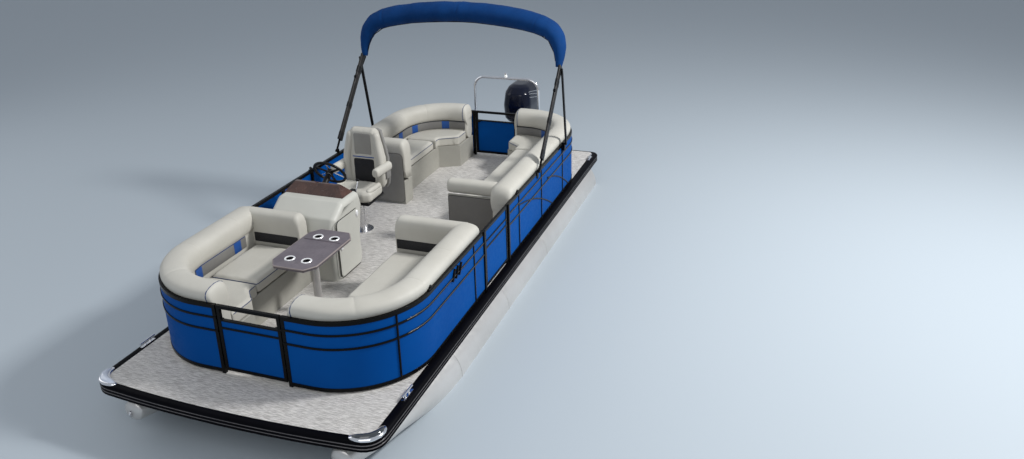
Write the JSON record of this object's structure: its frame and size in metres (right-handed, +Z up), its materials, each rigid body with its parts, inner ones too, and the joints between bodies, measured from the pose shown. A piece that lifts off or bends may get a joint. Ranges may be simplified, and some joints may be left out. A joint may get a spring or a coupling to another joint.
{
  "type": "pontoon boat",
  "caption": "Pontoon boat with two aluminium tubes, a fenced deck with gates, lounges, helm, table, folded top on an arch, tow arch and outboard.",
  "frame": {"origin": "amidships on the centreline, at the waterline it floats at", "axes": "+X to the bow, +Y to port, +Z up"},
  "size_m": [7.35, 2.6178, 3.3131],
  "materials": {
    "hull_aluminium": "satin mill finish",
    "deck_vinyl": "woven vinyl",
    "rub_rail_black": "ribbed, satin",
    "black_frame": "satin powder coat",
    "blue_panel": "gloss paint",
    "base_plastic": "moulded",
    "seat_vinyl": "soft vinyl upholstery",
    "console_plastic": "moulded",
    "dash_brown": "satin",
    "wheel_black": "grained grip",
    "brushed_metal": "brushed",
    "polished_metal": "polished",
    "chair_shell": "moulded",
    "table_plastic": "moulded",
    "boot_canvas": "woven canvas",
    "outboard_black": "gloss paint",
    "cowl_navy": "gloss paint",
    "engine_metal": "cast",
    "propeller_metal": "brushed",
    "light_glass": "clear lens"
  },
  "bodies": {
    "hull": {"port_pontoon": "hull_aluminium", "starboard_pontoon": "hull_aluminium", "deck_beams": "hull_aluminium", "deck": "deck_vinyl", "rub_rail_bow": "rub_rail_black", "rub_rail_sides": "rub_rail_black", "rub_rail_stern": "rub_rail_black", "port_fence_frame": "black_frame", "starboard_fence_frame": "black_frame", "port_fence_panels": "blue_panel", "starboard_fence_panels": "blue_panel", "bow_port_lounge_base": "base_plastic", "bow_port_lounge_backrest": "seat_vinyl", "bow_starboard_lounge_base": "base_plastic", "bow_starboard_lounge_backrest": "seat_vinyl", "aft_port_lounge_base": "base_plastic", "aft_port_lounge_backrest": "seat_vinyl", "aft_starboard_lounge_base": "base_plastic", "aft_starboard_lounge_backrest": "seat_vinyl", "helm_console": "console_plastic", "helm_dash": "dash_brown", "helm_chair_pedestal": "brushed_metal", "table_pedestal": "brushed_metal", "top_frame_brackets": "black_frame", "tow_arch": "polished_metal", "motor_pod": "hull_aluminium", "transom_bracket": "outboard_black", "mooring_cleats": "polished_metal", "bow_eyes": "polished_metal", "bow_corner_caps": "light_glass"},
    "bow_gate": {"bow_gate_frame": "black_frame", "bow_gate_panel": "blue_panel"},
    "port_gate": {"port_gate_frame": "black_frame", "port_gate_panel": "blue_panel"},
    "stern_gate": {"stern_gate_frame": "black_frame", "stern_gate_panel": "blue_panel"},
    "bow_port_seat": {"bow_port_lounge_seat": "seat_vinyl"},
    "bow_starboard_seat": {"bow_starboard_lounge_seat": "seat_vinyl"},
    "aft_port_seat": {"aft_port_lounge_seat": "seat_vinyl"},
    "aft_starboard_seat": {"aft_starboard_lounge_seat": "seat_vinyl"},
    "console_door": {"console_door": "console_plastic"},
    "steering_wheel": {"steering_wheel": "wheel_black"},
    "helm_chair": {"helm_chair_frame": "chair_shell", "helm_chair_cushions": "seat_vinyl"},
    "table_top": {"table_top": "table_plastic"},
    "top_frame": {"top_frame_legs": "black_frame", "top_boot": "boot_canvas"},
    "top_struts": {"top_frame_struts": "black_frame"},
    "outboard_swivel": {"swivel_bracket": "outboard_black"},
    "outboard": {"outboard_cowl": "cowl_navy", "outboard_powerhead": "engine_metal", "outboard_leg": "outboard_black"},
    "propeller": {"propeller": "propeller_metal"}
  },
  "joints": [
    {"name": "bow_gate_hinge", "type": "hinge", "parent": "hull", "child": "bow_gate", "pos_m": [2.752, -0.295, 0.45], "axis": [0, 0, 1], "range_deg": [0, 90]},
    {"name": "port_gate_hinge", "type": "hinge", "parent": "hull", "child": "port_gate", "pos_m": [0.88, 1.197, 0.45], "axis": [0, 0, 1], "range_deg": [0, 90]},
    {"name": "stern_gate_hinge", "type": "hinge", "parent": "hull", "child": "stern_gate", "pos_m": [-2.682, 0.295, 0.45], "axis": [0, 0, 1], "range_deg": [0, 90]},
    {"name": "console_door_hinge", "type": "hinge", "parent": "hull", "child": "console_door", "pos_m": [0.694, -0.209, 0.45], "axis": [0, 0, 1], "range_deg": [0, 100]},
    {"name": "bow_port_seat_hinge", "type": "hinge", "parent": "hull", "child": "bow_port_seat", "pos_m": [1.5655, 0.984, 0.875], "axis": [-1, 0, 0], "range_deg": [0, 70]},
    {"name": "bow_starboard_seat_hinge", "type": "hinge", "parent": "hull", "child": "bow_starboard_seat", "pos_m": [1.688, -0.984, 0.875], "axis": [1, 0, 0], "range_deg": [0, 70]},
    {"name": "aft_port_seat_hinge", "type": "hinge", "parent": "hull", "child": "aft_port_seat", "pos_m": [-1.093, 0.984, 0.875], "axis": [-1, 0, 0], "range_deg": [0, 70]},
    {"name": "aft_starboard_seat_hinge", "type": "hinge", "parent": "hull", "child": "aft_starboard_seat", "pos_m": [-1.498, -0.984, 0.875], "axis": [1, 0, 0], "range_deg": [0, 70]},
    {"name": "steering_wheel_turn", "type": "hinge", "parent": "hull", "child": "steering_wheel", "pos_m": [0.5, -0.605, 1.332], "axis": [-0.8192, 0, 0.5736], "range_deg": [-630, 630]},
    {"name": "helm_chair_swivel", "type": "hinge", "parent": "hull", "child": "helm_chair", "pos_m": [-0.05, -0.605, 0.83], "axis": [0, 0, 1], "continuous": true},
    {"name": "table_swivel", "type": "hinge", "parent": "hull", "child": "table_top", "pos_m": [1.64, -0.13, 1], "axis": [0, 0, 1], "continuous": true},
    {"name": "top_frame_fold", "type": "hinge", "parent": "hull", "child": "top_frame", "pos_m": [-0.7, 0, 1.1], "axis": [0, -1, 0], "range_deg": [0, 40]},
    {"name": "top_strut_swing", "type": "hinge", "parent": "top_frame", "child": "top_struts", "pos_m": [-1.482, 0, 2.042], "axis": [0, -1, 0], "range_deg": [0, 50]},
    {"name": "outboard_tilt", "type": "hinge", "parent": "hull", "child": "outboard_swivel", "pos_m": [-3.545, 0, 0.508], "axis": [0, 1, 0], "range_deg": [0, 60]},
    {"name": "outboard_steer", "type": "hinge", "parent": "outboard_swivel", "child": "outboard", "pos_m": [-3.69, 0, 0.45], "axis": [0, 0, 1], "range_deg": [-30.5, 30.5]},
    {"name": "propeller_spin", "type": "hinge", "parent": "outboard", "child": "propeller", "pos_m": [-3.987, 0, -0.38], "axis": [1, 0, 0], "continuous": true}
  ],
  "couplings": [
    {"joint": "outboard_steer", "follows": "steering_wheel_turn", "ratio": 0.047619},
    {"joint": "top_strut_swing", "follows": "top_frame_fold", "ratio": 1.23}
  ]
}
